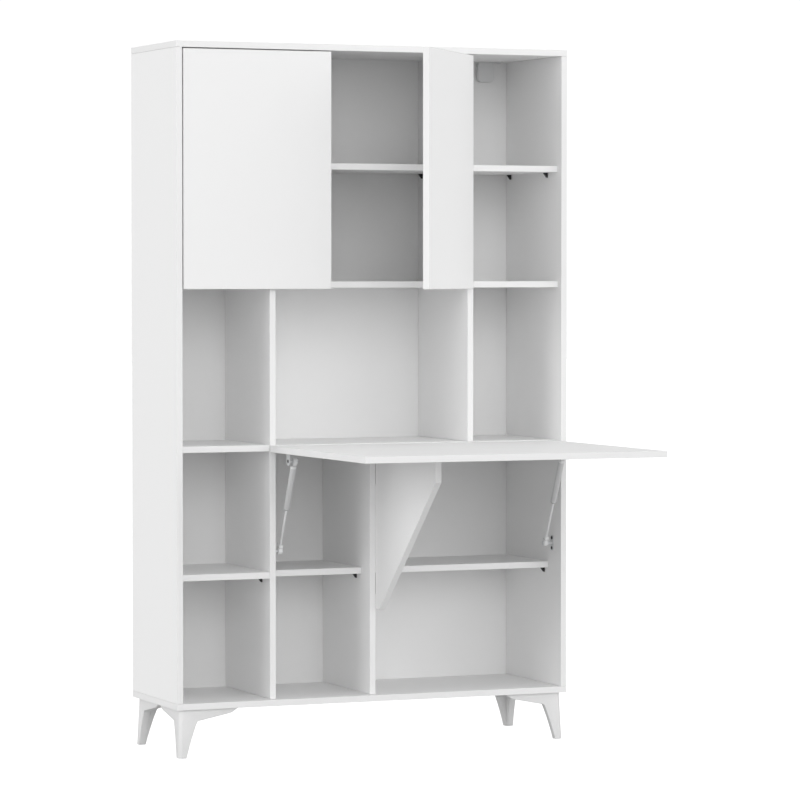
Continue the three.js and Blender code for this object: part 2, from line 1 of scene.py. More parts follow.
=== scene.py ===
"""Finished look of a tall white secretary bookcase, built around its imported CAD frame.

Every board, door, foot and fitting takes its place from the frame's nodes and joints.
Lengths are metres, +X runs to the right, +Y to the back and +Z up.
"""

import json
import logging
import math
from collections.abc import Iterable
from dataclasses import dataclass, field
from enum import Enum

import bmesh
import bpy
from mathutils import Matrix, Vector


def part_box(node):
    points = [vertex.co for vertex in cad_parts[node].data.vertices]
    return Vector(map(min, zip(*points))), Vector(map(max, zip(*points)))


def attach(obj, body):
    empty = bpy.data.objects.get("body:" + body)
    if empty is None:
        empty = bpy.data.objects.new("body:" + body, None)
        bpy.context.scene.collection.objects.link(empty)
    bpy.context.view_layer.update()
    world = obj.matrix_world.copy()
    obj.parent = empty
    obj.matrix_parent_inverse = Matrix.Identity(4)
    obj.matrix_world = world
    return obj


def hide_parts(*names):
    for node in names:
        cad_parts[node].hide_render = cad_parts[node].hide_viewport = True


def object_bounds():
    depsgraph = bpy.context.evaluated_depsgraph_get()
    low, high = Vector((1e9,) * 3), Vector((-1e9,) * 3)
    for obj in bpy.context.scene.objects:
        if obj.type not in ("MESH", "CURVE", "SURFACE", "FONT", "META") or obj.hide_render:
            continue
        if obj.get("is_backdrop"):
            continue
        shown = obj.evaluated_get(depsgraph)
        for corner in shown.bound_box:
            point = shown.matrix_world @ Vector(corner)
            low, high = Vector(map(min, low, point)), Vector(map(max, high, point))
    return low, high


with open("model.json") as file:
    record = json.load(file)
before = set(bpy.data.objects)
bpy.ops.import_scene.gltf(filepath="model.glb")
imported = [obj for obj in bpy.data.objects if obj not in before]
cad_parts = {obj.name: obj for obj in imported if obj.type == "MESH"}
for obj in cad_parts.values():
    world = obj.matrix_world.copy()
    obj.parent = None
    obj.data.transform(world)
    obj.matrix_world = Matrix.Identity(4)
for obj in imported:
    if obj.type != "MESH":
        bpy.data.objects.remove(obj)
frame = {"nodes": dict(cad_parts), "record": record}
LOG = logging.getLogger("secretary_bookcase")
MM = 0.001
WELD = 0.01 * MM  # points closer than this are merged
TOUCH = 1e-6  # lengths closer than this are the same, in metres
SLICE_TOUCH = 1e-7  # points this close to a cutting plane lie on it, in metres
ALONG = 0.9  # a face looks along an axis when its normal's share of it is over this


class Side(Enum):
    """A face of an upright box, as the index of its axis and the way it looks."""

    LEFT = (0, -1)
    RIGHT = (0, 1)
    FRONT = (1, -1)
    BACK = (1, 1)
    BOTTOM = (2, -1)
    TOP = (2, 1)

    @property
    def vector(self) -> Vector:
        """Returns the unit vector that this side looks along."""
        axis, way = self.value
        return Vector(way if index == axis else 0 for index in range(3))

    def outermost(self, low: Vector, high: Vector) -> float:
        """Returns the place of this side of a box, along the side's axis."""
        axis, way = self.value
        return high[axis] if way > 0 else low[axis]


class Drive(Enum):
    """The recess in a screw's head."""

    CROSS = "cross"
    NONE = "none"


# ---- shader groups ------------------------------------------------------------------

Tree = bpy.types.NodeTree
Node = bpy.types.Node
Socket = bpy.types.NodeSocket
BMesh = bmesh.types.BMesh
Colour = tuple[float, float, float]
Feed = Socket | Colour | float


def feed(tree: Tree, node: Node, inputs: dict[str | int, Feed]) -> None:
    """Feeds a node's inputs.

    Args:
        tree: the tree that holds the node.
        node: the node.
        inputs: sockets to link, or colours and numbers to set, by the input's name or index.
    """
    for key, value in inputs.items():
        if isinstance(value, Socket):
            tree.links.new(value, node.inputs[key])
        else:
            node.inputs[key].default_value = (*value, 1.0) if isinstance(value, tuple) else value


def add_node(
    tree: Tree, kind: str, inputs: dict[str | int, Feed] | None = None, **settings: object
) -> Node:
    """Adds a shader node, sets its properties and feeds its inputs.

    Args:
        tree: the tree that it goes in.
        kind: its type's name after ShaderNode.
        inputs: what feeds its inputs.
        settings: properties to set, by name.

    Returns:
        The new node.
    """
    node = tree.nodes.new(f"ShaderNode{kind}")
    for name, value in settings.items():
        setattr(node, name, value)
    feed(tree, node, inputs or {})
    return node


def arithmetic(tree: Tree, operation: str, first: Feed, second: Feed, clamp: bool = False) -> Socket:
    """Adds one arithmetic step.

    Args:
        tree: the tree that it goes in.
        operation: the Math node's operation.
        first: a socket or a number.
        second: a socket or a number.
        clamp: keep the result from 0 to 1.

    Returns:
        The socket with the result.
    """
    values = {0: first, 1: second}
    return add_node(tree, "Math", values, operation=operation, use_clamp=clamp).outputs[0]


def mix(tree: Tree, amount: Socket, first: Socket | Colour, second: Socket | Colour) -> Socket:
    """Mixes two colours.

    Args:
        tree: the tree that it goes in.
        amount: 0 for the first colour, 1 for the second.
        first: a socket or a colour.
        second: a socket or a colour.

    Returns:
        The socket with the mixed colour.
    """
    inputs = {0: amount, 6: first, 7: second}
    return add_node(tree, "Mix", inputs, data_type="RGBA", clamp_factor=True).outputs[2]


def noise(tree: Tree, place: Socket, **inputs: Feed) -> Socket:
    """Adds a noise texture.

    Args:
        tree: the tree that it goes in.
        place: the coordinates that it reads.
        inputs: what feeds its other inputs, by name.

    Returns:
        The socket with its value.
    """
    return add_node(tree, "TexNoise", {"Vector": place, **inputs}, noise_dimensions="3D").outputs["Fac"]


def object_place(tree: Tree) -> Socket:
    """Returns a socket with the object coordinates."""
    return add_node(tree, "TexCoord").outputs["Object"]


def surface_normal(tree: Tree) -> Socket:
    """Returns a socket with the surface's normal."""
    return add_node(tree, "NewGeometry").outputs["Normal"]


@dataclass
class ShaderGroup:
    """A shader node group, built once and reused."""

    name: str  # the group's name in the file
    inputs: dict[str, float]  # its inputs, with their default numbers
    outputs: tuple[str, ...]  # its outputs' names
    tree: Tree = field(init=False)  # the group's tree
    given: bpy.types.NodeOutputs = field(init=False)  # the sockets that bring the inputs in

    def __post_init__(self) -> None:
        """Makes the tree and its sockets."""
        self.tree = bpy.data.node_groups.new(self.name, "ShaderNodeTree")
        for way, labels in (("INPUT", self.inputs), ("OUTPUT", self.outputs)):
            for label in labels:
                self.tree.interface.new_socket(label, in_out=way, socket_type="NodeSocketFloat")
        for label, value in self.inputs.items():
            self.tree.interface.items_tree[label].default_value = value
        self.given = self.tree.nodes.new("NodeGroupInput").outputs

    def give(self, **outputs: Socket) -> Tree:
        """Links the outputs, by name, and returns the finished tree."""
        feed(self.tree, self.tree.nodes.new("NodeGroupOutput"), outputs)
        return self.tree


def texture_group() -> Tree:
    """Builds the surface texture: a fine height and a broad tone, on object coordinates.

    Returns:
        The group's tree. Scale is patches to a metre, Stretch draws them out along Z.
    """
    inputs = {"Scale": 200.0, "Stretch": 1.0, "Tone Scale": 5.0}
    group = ShaderGroup("surface_texture", inputs, ("Height", "Tone"))
    tree, given = group.tree, group.given
    place = object_place(tree)
    squeeze = {"X": 1.0, "Y": 1.0, "Z": arithmetic(tree, "DIVIDE", 1.0, given["Stretch"])}
    squeezed = {0: place, 1: add_node(tree, "CombineXYZ", squeeze).outputs[0]}
    stretched = add_node(tree, "VectorMath", squeezed, operation="MULTIPLY").outputs[0]
    return group.give(
        Height=noise(tree, stretched, Scale=given["Scale"], Detail=3.0, Roughness=0.55),
        Tone=noise(tree, place, Scale=given["Tone Scale"], Detail=4.0, Roughness=0.6),
    )


def wear_group() -> Tree:
    """Builds the edge mask: how far a small rounding would turn the surface, broken up.

    Returns:
        The group's tree. Reach is the width in metres that an edge wears over.
    """
    group = ShaderGroup("edge_wear", {"Reach": 0.0015}, ("Mask",))
    tree = group.tree
    rounded = add_node(tree, "Bevel", {"Radius": group.given["Reach"]}, samples=4)
    normals = {0: rounded.outputs[0], 1: surface_normal(tree)}
    agreed = add_node(tree, "VectorMath", normals, operation="DOT_PRODUCT").outputs["Value"]
    turned = arithmetic(tree, "MULTIPLY", arithmetic(tree, "SUBTRACT", 1.0, agreed), 4.0)
    patches = noise(tree, object_place(tree), Scale=40.0, Detail=5.0)
    return group.give(Mask=arithmetic(tree, "MULTIPLY", turned, patches, clamp=True))


def dust_group() -> Tree:
    """Builds the dust mask: soft patches on what looks up.

    Returns:
        The group's tree. Amount scales the mask.
    """
    group = ShaderGroup("settled_dust", {"Amount": 0.3}, ("Mask",))
    tree = group.tree
    upward = add_node(tree, "SeparateXYZ", {0: surface_normal(tree)}).outputs["Z"]
    up = arithmetic(tree, "POWER", arithmetic(tree, "MAXIMUM", upward, 0.0), 4.0)
    patches = noise(tree, object_place(tree), Scale=9.0, Detail=6.0)
    lying = arithmetic(tree, "MULTIPLY", up, patches)
    return group.give(Mask=arithmetic(tree, "MULTIPLY", lying, group.given["Amount"]))


@dataclass(frozen=True)
class ShaderKit:
    """The three groups that every finish draws on."""

    texture: Tree
    wear: Tree
    dust: Tree


KIT = ShaderKit(texture_group(), wear_group(), dust_group())


# ---- finishes -----------------------------------------------------------------------

WHITE: Colour = (1.0, 1.0, 1.0)
DUST_COLOUR: Colour = (0.52, 0.50, 0.47)
BUMP_STRENGTH = 0.6


@dataclass(frozen=True)
class Finish:
    """One material of the cabinet."""

    name: str  # the material's name
    colour: Colour  # its base colour, linear
    roughness: float  # its mean roughness
    metallic: float = 0.0  # 0 for boards and plastics, 1 for bare metal
    spread: float = 0.02  # how far the broad tone moves the colour
    gloss_spread: float = 0.08  # how far the broad tone moves the roughness
    scale: float = 300.0  # fine texture patches to a metre
    stretch: float = 1.0  # how much longer than wide those patches are, along Z
    bump: float = 0.00004  # height of the fine texture in metres
    wear: float = 0.15  # how far worn edges go towards wear_colour
    wear_colour: Colour = (0.62, 0.60, 0.57)  # what shows where an edge is worn
    dust: float = 0.06  # how much dust lies on what looks up
    coat: float = 0.0  # weight of a clear coat
    specular: float = 0.5  # strength of the mirror-like part of what it reflects

    def material(self) -> bpy.types.Material:
        """Returns this finish's material, built the first time that it is asked for."""
        found = bpy.data.materials.get(self.name)
        return found or self._build()

    def _build(self) -> bpy.types.Material:
        """Builds the material's nodes.

        Returns:
            The new material.
        """
        material = bpy.data.materials.new(self.name)
        material.use_nodes = True
        tree = material.node_tree
        scales = {"Scale": self.scale, "Stretch": self.stretch}
        texture = add_node(tree, "Group", scales, node_tree=KIT.texture)
        wear = add_node(tree, "Group", node_tree=KIT.wear).outputs["Mask"]
        dust = add_node(tree, "Group", {"Amount": self.dust}, node_tree=KIT.dust).outputs["Mask"]
        tone = texture.outputs["Tone"]
        dark = tuple(channel * (1 - self.spread) for channel in self.colour)
        light = tuple(min(1.0, channel * (1 + self.spread)) for channel in self.colour)
        toned = mix(tree, tone, dark, light)
        worn = mix(tree, arithmetic(tree, "MULTIPLY", wear, self.wear), toned, self.wear_colour)
        level = arithmetic(tree, "SUBTRACT", tone, 0.5)
        swing = arithmetic(tree, "MULTIPLY", level, self.gloss_spread * 2)
        rough = arithmetic(tree, "ADD", swing, self.roughness)
        relief = {"Strength": BUMP_STRENGTH, "Distance": self.bump, "Height": texture.outputs["Height"]}
        feed(tree, tree.nodes["Principled BSDF"], {
            "Base Color": mix(tree, dust, worn, DUST_COLOUR),
            "Roughness": arithmetic(tree, "ADD", rough, dust),
            "Normal": add_node(tree, "Bump", relief).outputs["Normal"],
            "Metallic": self.metallic,
            "Coat Weight": self.coat,
            "Specular IOR Level": self.specular,
        })
        return material


LAMINATE = Finish("white_laminate", (0.86, 0.86, 0.86), 0.56, scale=420, bump=0.00005, specular=0.25)
EDGE_BAND = Finish("white_edge_band", (0.87, 0.87, 0.87), 0.4, scale=900, bump=0.00002, wear=0.25)
BAND_SEAM = Finish("band_glue_line", (0.56, 0.55, 0.53), 0.6, spread=0.1, dust=0.0)
SHEET_FACE = Finish("back_sheet_white", (0.84, 0.84, 0.84), 0.5, scale=500, dust=0.0)
SHEET_REAR = Finish(
    "back_sheet_raw", (0.60, 0.53, 0.44), 0.8, spread=0.12, scale=260, bump=0.00015, dust=0.0
)
RAW_EDGE = Finish("raw_chipboard", (0.58, 0.47, 0.33), 0.9, spread=0.3, scale=380, bump=0.0003, dust=0.0)
FOOT_PLASTIC = Finish(
    "white_foot_plastic", (0.80, 0.80, 0.80), 0.42, scale=700, bump=0.00006, wear_colour=(0.5, 0.5, 0.5)
)
NICKEL = Finish(
    "nickel_plate", (0.62, 0.62, 0.61), 0.3, metallic=1.0, spread=0.08, scale=900, stretch=6,
    bump=0.00001, wear=0.3, wear_colour=(0.36, 0.34, 0.31), dust=0.0,
)
STRUT_PAINT = Finish(
    "strut_grey_paint", (0.66, 0.665, 0.67), 0.4, spread=0.05, scale=800, bump=0.00003,
    wear_colour=(0.3, 0.3, 0.3), dust=0.02, coat=0.2,
)
CHROME = Finish(
    "polished_rod", (0.88, 0.885, 0.89), 0.3, metallic=0.45, spread=0.03, gloss_spread=0.05, scale=1200,
    stretch=12, bump=0.000005, dust=0.0,
)
EYE_PLASTIC = Finish("pale_eye_plastic", (0.84, 0.845, 0.85), 0.4, scale=900, bump=0.00004, dust=0.0)
BRACKET_COAT = Finish(
    "bracket_coating", (0.70, 0.71, 0.72), 0.38, metallic=0.1, spread=0.04, scale=900, dust=0.0
)
HANGER_PLASTIC = Finish("hanger_grey_plastic", (0.72, 0.725, 0.73), 0.5, spread=0.05, scale=800, dust=0.05)
BLACK_PLASTIC = Finish(
    "black_pin_plastic", (0.012, 0.012, 0.013), 0.45, spread=0.3, scale=900, wear_colour=(0.08, 0.08, 0.08),
    dust=0.0,
)
# near-black, slightly metallic heads for the strut mounts' screws and rivet
DARK_SCREW = Finish(
    "near_black_screw", (0.08, 0.08, 0.085), 0.42, metallic=0.6, spread=0.2, scale=1500, bump=0.00001,
    wear_colour=(0.25, 0.24, 0.22), dust=0.0,
)
# painted shadow: near-black colour standing in for the hollows of screw crosses and cover notches
RECESS_SHADOW = Finish("screw_recess_shadow", (0.01, 0.01, 0.01), 0.8, spread=0.2, dust=0.0, wear=0.0)
CAP_PLASTIC = Finish("white_cap_plastic", (0.82, 0.82, 0.81), 0.35, scale=900, bump=0.00002, dust=0.0)
CLEAR_BUMPER = Finish("clear_bumper_silicone", (0.70, 0.71, 0.72), 0.2, spread=0.04, dust=0.0, coat=0.4)


# ---- mesh helpers -------------------------------------------------------------------


def finish_piece(
    name: str,
    bm: BMesh,
    finishes: Iterable[Finish],
    body: str,
    replaces: Iterable[str] = (),
    slot: str | None = None,
    smooth: float | None = None,
) -> bpy.types.Object:
    """Turns a bmesh into a dressed piece that rides on a body.

    Args:
        name: the piece's name.
        bm: its geometry, in the frame's coordinates. It is freed here.
        finishes: one finish for each material index that the faces use.
        body: the CAD body that carries it.
        replaces: CAD nodes that it stands for.
        slot: the record's material slot, if one fits; not used.
        smooth: shade smoothly across edges under this many degrees; flat without it.

    Returns:
        The new object.
    """
    mesh = bpy.data.meshes.new(name)
    bm.normal_update()
    bm.to_mesh(mesh)
    bm.free()
    for finish in finishes:
        mesh.materials.append(finish.material())
    if smooth is not None:
        mesh.polygons.foreach_set("use_smooth", [True] * len(mesh.polygons))
        mesh.set_sharp_from_angle(angle=math.radians(smooth))
    piece = bpy.data.objects.new(name, mesh)
    bpy.context.scene.collection.objects.link(piece)
    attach(piece, body)
    if replaces:
        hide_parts(*replaces)
    LOG.info("%s: %d faces on %s", name, len(mesh.polygons), body)
    return piece


def body_of_node(node: str) -> str:
    """Returns the name of the CAD body that holds a node."""
    bodies = frame["record"]["behaviour"]["bodies"]
    return next(body for body, nodes in bodies.items() if node in nodes)


def slot_of_node(node: str) -> str:
    """Returns a node's material slot in the record."""
    return next(part["material_slot"] for part in frame["record"]["subparts"] if part["node"] == node)


def dress_node(
    node: str, suffix: str, bm: BMesh, *finishes: Finish, smooth: float | None = None
) -> bpy.types.Object:
    """Turns a bmesh into the piece that stands for one CAD node, on the node's body.

    Args:
        node: the CAD node.
        suffix: what the piece's name adds to the node's.
        bm: the piece's geometry, in the frame's coordinates. It is freed here.
        finishes: one finish for each material index that the faces use.
        smooth: shade smoothly across edges under this many degrees; flat without it.

    Returns:
        The new object.
    """
    name, slot = f"{node}_{suffix}", slot_of_node(node)
    return finish_piece(name, bm, finishes, body_of_node(node), (node,), slot, smooth)


def joint_named(name: str) -> dict:
    """Returns a joint's entry in the record."""
    return next(joint for joint in frame["record"]["behaviour"]["joints"] if joint["name"] == name)


def box_mesh(low: Vector, high: Vector) -> BMesh:
    """Makes a box between two corners.

    Args:
        low: the lowest corner.
        high: the highest corner.

    Returns:
        A bmesh with the box.
    """
    bm = bmesh.new()
    place = Matrix.Translation((low + high) / 2) @ Matrix.Diagonal((*(high - low), 1.0))
    bmesh.ops.create_cube(bm, size=1.0, matrix=place)
    return bm


def welded_copy(node: str, back: Matrix | None = None) -> BMesh:
    """Copies a CAD node's loose triangles as one surface with flat areas joined.

    Args:
        node: the node's name.
        back: a transform for the copy, such as one that shuts an open door.

    Returns:
        A bmesh with the copy.
    """
    bm = bmesh.new()
    bm.from_mesh(frame["nodes"][node].data)
    bmesh.ops.remove_doubles(bm, verts=bm.verts, dist=WELD)
    if back is not None:
        bmesh.ops.transform(bm, matrix=back, verts=bm.verts)
    bmesh.ops.dissolve_limit(bm, angle_limit=math.radians(0.5), verts=bm.verts, edges=bm.edges)
    return bm


def extent(bm: BMesh) -> tuple[Vector, Vector]:
    """Measures a mesh.

    Args:
        bm: the mesh.

    Returns:
        Its lowest and highest corners.
    """
    places = [vert.co for vert in bm.verts]
    low = Vector(min(place[axis] for place in places) for axis in range(3))
    high = Vector(max(place[axis] for place in places) for axis in range(3))
    return low, high


def cut_across(bm: BMesh, axis: int, place: float) -> None:
    """Adds a loop of edges where a plane across an axis meets the mesh.

    Args:
        bm: the mesh.
        axis: 0, 1 or 2.
        place: where along that axis.
    """
    normal = Vector((0.0, 0.0, 0.0))
    normal[axis] = 1.0
    everything = [*bm.verts, *bm.edges, *bm.faces]
    bmesh.ops.bisect_plane(
        bm, geom=everything, plane_co=normal * place, plane_no=normal, dist=SLICE_TOUCH
    )


def round_edges(
    bm: BMesh,
    edges: Iterable[bmesh.types.BMEdge],
    width: float,
    segments: int = 2,
    clamp: bool = True,
) -> None:
    """Rounds some edges of a mesh.

    Args:
        bm: the mesh.
        edges: the edges.
        width: the rounding's width in metres.
        segments: steps across the rounding.
        clamp: keep roundings from running into one another.
    """
    bmesh.ops.bevel(
        bm, geom=list(edges), offset=width, affect="EDGES", segments=segments, profile=0.5,
        material=-1, clamp_overlap=clamp,
    )


def soften_edges(bm: BMesh, width: float, segments: int = 2, angle: float = 40.0) -> None:
    """Rounds the sharp edges of a mesh.

    Args:
        bm: the mesh.
        width: the rounding's width in metres.
        segments: steps across the rounding.
        angle: edges that turn less than this many degrees are left.
    """
    limit = math.radians(angle)
    sharp = [edge for edge in bm.edges if edge.is_manifold and edge.calc_face_angle(0.0) > limit]
    round_edges(bm, sharp, width, segments)


def ring_places(first: float, last: float, pitch: float) -> list[float]:
    """Spaces places evenly between two ends, about a pitch apart.

    Args:
        first: the first place.
        last: the last place.
        pitch: the wished distance between neighbours.

    Returns:
        The places, both ends included.
    """
    steps = max(1, round((last - first) / pitch))
    return [first + (last - first) * step / steps for step in range(steps + 1)]


def facing(place: Vector, normal: Vector) -> Matrix:
    """Returns a transform whose +Z looks along normal and whose origin is at place."""
    return Matrix.Translation(place) @ normal.to_track_quat("Z", "Y").to_matrix().to_4x4()


def dress_metal(node: str, suffix: str = "steel", finish: Finish = NICKEL) -> None:
    """Dresses one metal piece, with its shape as it is.

    Args:
        node: the CAD node that it stands for.
        suffix: what the piece's name adds to the node's.
        finish: its finish.
    """
    dress_node(node, suffix, welded_copy(node), finish, smooth=35)


@dataclass
class ScrewSet:
    """Screw or nail heads on one body, gathered in one piece."""

    name: str  # the piece's name
    body: str  # the body that carries them
    radius: float = 3.6 * MM  # a head's radius
    height: float = 0.9 * MM  # how far a head stands proud
    drive: Drive = Drive.CROSS  # the recess in each head
    finish: Finish = NICKEL  # the heads' finish
    crown: float = 0.75  # how far a head's rim is rounded, as a share of its height
    # the cross's length and width as shares of the radius, and its depth as one of the height
    cross: tuple[float, float, float] = (1.15, 0.24, 0.3)
    sunk: float = 0.4  # how far the cross's middle is below the head's top, as a share of its depth
    bm: BMesh = field(default_factory=bmesh.new)  # the heads' mesh

    def add(self, place: Vector, normal: Vector) -> None:
        """Adds a head that stands on a surface.

        Args:
            place: the point on the surface.
            normal: the way that the head looks.
        """
        stand = facing(place, normal)
        head = bmesh.ops.create_cone(
            self.bm, cap_ends=True, segments=20, radius1=self.radius, radius2=self.radius,
            depth=self.height, matrix=stand @ Matrix.Translation((0, 0, self.height / 2)),
        )["verts"]
        top = [
            edge
            for edge in {edge for vert in head for edge in vert.link_edges}
            if all((stand.inverted() @ vert.co).z > self.height / 2 for vert in edge.verts)
        ]
        round_edges(self.bm, top, self.height * self.crown, segments=3, clamp=False)
        if self.drive is Drive.CROSS:
            self._add_cross(stand)

    def add_pair(self, middle: Vector, step: Vector, normal: Vector) -> None:
        """Adds two heads, a step to either side of a place.

        Args:
            middle: the place.
            step: from there to a head.
            normal: the way that they look.
        """
        for way in (-1, 1):
            self.add(middle + way * step, normal)

    def _add_cross(self, stand: Matrix) -> None:
        """Adds the cross of a head as near-black boxes, painted shadow of its recess.

        Args:
            stand: the head's transform.
        """
        long, wide = self.radius * self.cross[0], self.radius * self.cross[1]
        deep = self.height * self.cross[2]
        middle = stand @ Matrix.Translation((0, 0, self.height - deep * self.sunk))
        for size in ((long, wide, deep), (wide, long, deep)):
            place = middle @ Matrix.Diagonal((*size, 1))
            verts = bmesh.ops.create_cube(self.bm, size=1.0, matrix=place)["verts"]
            for face in {face for vert in verts for face in vert.link_faces}:
                face.material_index = 1

    def build(self) -> bpy.types.Object:
        """Returns the finished piece."""
        return finish_piece(self.name, self.bm, (self.finish, RECESS_SHADOW), self.body, smooth=50)


# ---- boards -------------------------------------------------------------------------


@dataclass
class Board:
    """A laminated board with edge bands, in place of one CAD board."""

    node: str  # the CAD node that it replaces
    banded: tuple[Side, ...] = (Side.FRONT,)  # the faces that carry an edge band
    face: Finish = LAMINATE  # the finish of its faces
    raw: tuple[Side, ...] = (Side.BACK,)  # faces left as bare chipboard
    band: float = 1.0 * MM  # the edge band's thickness
    seam: float = 0.22 * MM  # the width of the glue line behind it
    rounding: float = 0.7 * MM  # how far the long edges are eased

    def build(self) -> bpy.types.Object:
        """Builds the board.

        Returns:
            The finished piece.
        """
        low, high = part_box(self.node)
        bm = box_mesh(low, high)
        self.dress(bm, low, high)
        return self.place(bm)

    def dress(self, bm: BMesh, low: Vector, high: Vector) -> None:
        """Cuts the band lines, eases the edges and sorts the faces by finish.

        Args:
            bm: the board's mesh.
            low: its lowest corner.
            high: its highest corner.
        """
        for side in self.banded:
            axis, way = side.value
            outer = side.outermost(low, high)
            cut_across(bm, axis, outer - way * self.band)
            cut_across(bm, axis, outer - way * (self.band + self.seam))
        outline = [edge for edge in bm.edges if self._is_outline(edge, low, high)]
        round_edges(bm, outline, self.rounding)
        for face in bm.faces:
            face.material_index = self._finish_index(face, low, high)

    @staticmethod
    def _is_outline(edge: bmesh.types.BMEdge, low: Vector, high: Vector) -> bool:
        """Tells whether an edge is one of the box's own twelve, or a part of one.

        Args:
            edge: the edge.
            low: the board's lowest corner.
            high: its highest corner.

        Returns:
            True where the edge lies on two of the box's faces.
        """
        on_faces = sum(
            all(abs(vert.co[side.value[0]] - side.outermost(low, high)) < TOUCH for vert in edge.verts)
            for side in Side
        )
        return on_faces == 2

    def _finish_index(self, face: bmesh.types.BMFace, low: Vector, high: Vector) -> int:
        """Picks the finish of one face.

        Args:
            face: the face.
            low: the board's lowest corner.
            high: its highest corner.

        Returns:
            0 for laminate, 1 for band, 2 for glue line and 3 for raw board.
        """
        centre = face.calc_center_median()
        for side in self.banded:
            axis, way = side.value
            depth = (side.outermost(low, high) - centre[axis]) * way
            if depth < self.band:
                return 1
            if depth < self.band + self.seam:
                return 2
        return 3 if any(face.normal.dot(side.vector) > ALONG for side in self.raw) else 0

    def place(self, bm: BMesh) -> bpy.types.Object:
        """Makes the piece that stands for the CAD node.

        Args:
            bm: the dressed mesh.

        Returns:
            The new object.
        """
        return dress_node(self.node, "board", bm, self.face, EDGE_BAND, BAND_SEAM, RAW_EDGE)


@dataclass
class Carcass:
    """The fixed boards, the back sheets with their nails, and the cam caps."""

    # boards banded on the front only
    fixed: tuple[str, ...] = (
        "left_side_panel", "right_side_panel", "left_divider", "lower_divider", "right_divider",
        "upper_divider", "upper_floor", "desk_board", "left_desk_shelf",
    )
    capped: tuple[str, ...] = ("top_panel", "bottom_panel")  # boards that show their ends as well
    # the thin sheets behind
    sheets: tuple[str, ...] = ("back_sheet_left", "back_sheet_right", "back_sheet_upper")
    sheet_rounding: float = 0.5 * MM  # how far a sheet's edges are eased
    nail_pitch: float = 110 * MM  # distance between nails along a sheet's rim
    nail_inset: float = 7 * MM  # distance of the nails from the rim
    nail_head: tuple[float, float] = (1.7 * MM, 0.5 * MM)  # radius and height of a nail's head
    # distance of the cam covers from the ends of each board that has them
    cap_insets: dict[str, float] = field(
        default_factory=lambda: {
            "upper_floor": 34 * MM, "desk_board": 34 * MM, "left_desk_shelf": 34 * MM, "top_panel": 50 * MM
        }
    )
    cap_depth: float = 60 * MM  # their distance from its front and back edges
    cap_radius: float = 8.5 * MM  # a cover's radius
    cap_thick: float = 0.9 * MM  # its thickness
    cap_taper: float = 0.9  # the radius of its outer face, as a share of the cover's
    dish_rim: float = 0.25  # width of the rim round its dished face, as a share of the radius
    dish_depth: float = 0.2 * MM  # how deep that face is sunk
    notch_place: float = 0.8  # distance of the notch from the middle, as a share of the radius
    notch: tuple[float, float, float] = (1.2 * MM, 2.4 * MM, 0.3 * MM)  # the size of its prising notch

    def build(self) -> None:
        """Builds every piece of the carcass."""
        for node in self.fixed:
            Board(node).build()
        for node in self.capped:
            Board(node, (Side.FRONT, Side.LEFT, Side.RIGHT)).build()
        for node in self.sheets:
            self._sheet(node)
        self._nails()
        self._cam_caps()

    def _sheet(self, node: str) -> None:
        """Builds one back sheet, white inside and raw on its back and edges.

        Args:
            node: the CAD sheet that it replaces.
        """
        bm = box_mesh(*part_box(node))
        soften_edges(bm, self.sheet_rounding)
        bm.normal_update()
        for face in bm.faces:
            face.material_index = int(face.normal.dot(Side.FRONT.vector) < 0.5)
        dress_node(node, "panel", bm, SHEET_FACE, SHEET_REAR)

    def _nails(self) -> None:
        """Adds the nails round the rim of each back sheet."""
        nails = ScrewSet("back_sheet_nails", "carcass", *self.nail_head, Drive.NONE)
        for node in self.sheets:
            low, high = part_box(node)
            x_ends = (low.x + self.nail_inset, high.x - self.nail_inset)
            z_ends = (low.z + self.nail_inset, high.z - self.nail_inset)
            spots = {(x, z) for x in ring_places(*x_ends, self.nail_pitch) for z in z_ends}
            spots |= {(x, z) for x in x_ends for z in ring_places(*z_ends, self.nail_pitch)}
            for x, z in sorted(spots):
                nails.add(Vector((x, high.y, z)), Side.BACK.vector)
        nails.build()

    def _cam_caps(self) -> None:
        """Adds the covers of the cam fittings under the fixed boards."""
        bm = bmesh.new()
        for node, inset in self.cap_insets.items():
            low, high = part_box(node)
            for x in (low.x + inset, high.x - inset):
                for y in (low.y + self.cap_depth, high.y - self.cap_depth):
                    self._cap(bm, facing(Vector((x, y, low.z)), Side.BOTTOM.vector))
        finish_piece("cam_fitting_caps", bm, (CAP_PLASTIC, RECESS_SHADOW), "carcass", smooth=40)

    def _cap(self, bm: BMesh, stand: Matrix) -> None:
        """Adds one cover with its small prising notch.

        Args:
            bm: the mesh that takes it.
            stand: its place, looking along +Z.
        """
        verts = bmesh.ops.create_cone(
            bm, cap_ends=True, segments=32, depth=self.cap_thick, radius1=self.cap_radius,
            radius2=self.cap_radius * self.cap_taper,
            matrix=stand @ Matrix.Translation((0, 0, self.cap_thick / 2)),
        )["verts"]
        top = max((face for vert in verts for face in vert.link_faces), key=lambda face: face.calc_area())
        rim_width = self.cap_radius * self.dish_rim
        bmesh.ops.inset_region(bm, faces=[top], thickness=rim_width, depth=-self.dish_depth)
        # the notch is a near-black box, painted shadow of a notch in the cover
        rim = stand @ Matrix.Translation((self.cap_radius * self.notch_place, 0, self.cap_thick))
        notch = rim @ Matrix.Diagonal((*self.notch, 1))
        for vert in bmesh.ops.create_cube(bm, size=1.0, matrix=notch)["verts"]:
            for face in vert.link_faces:
                face.material_index = 1


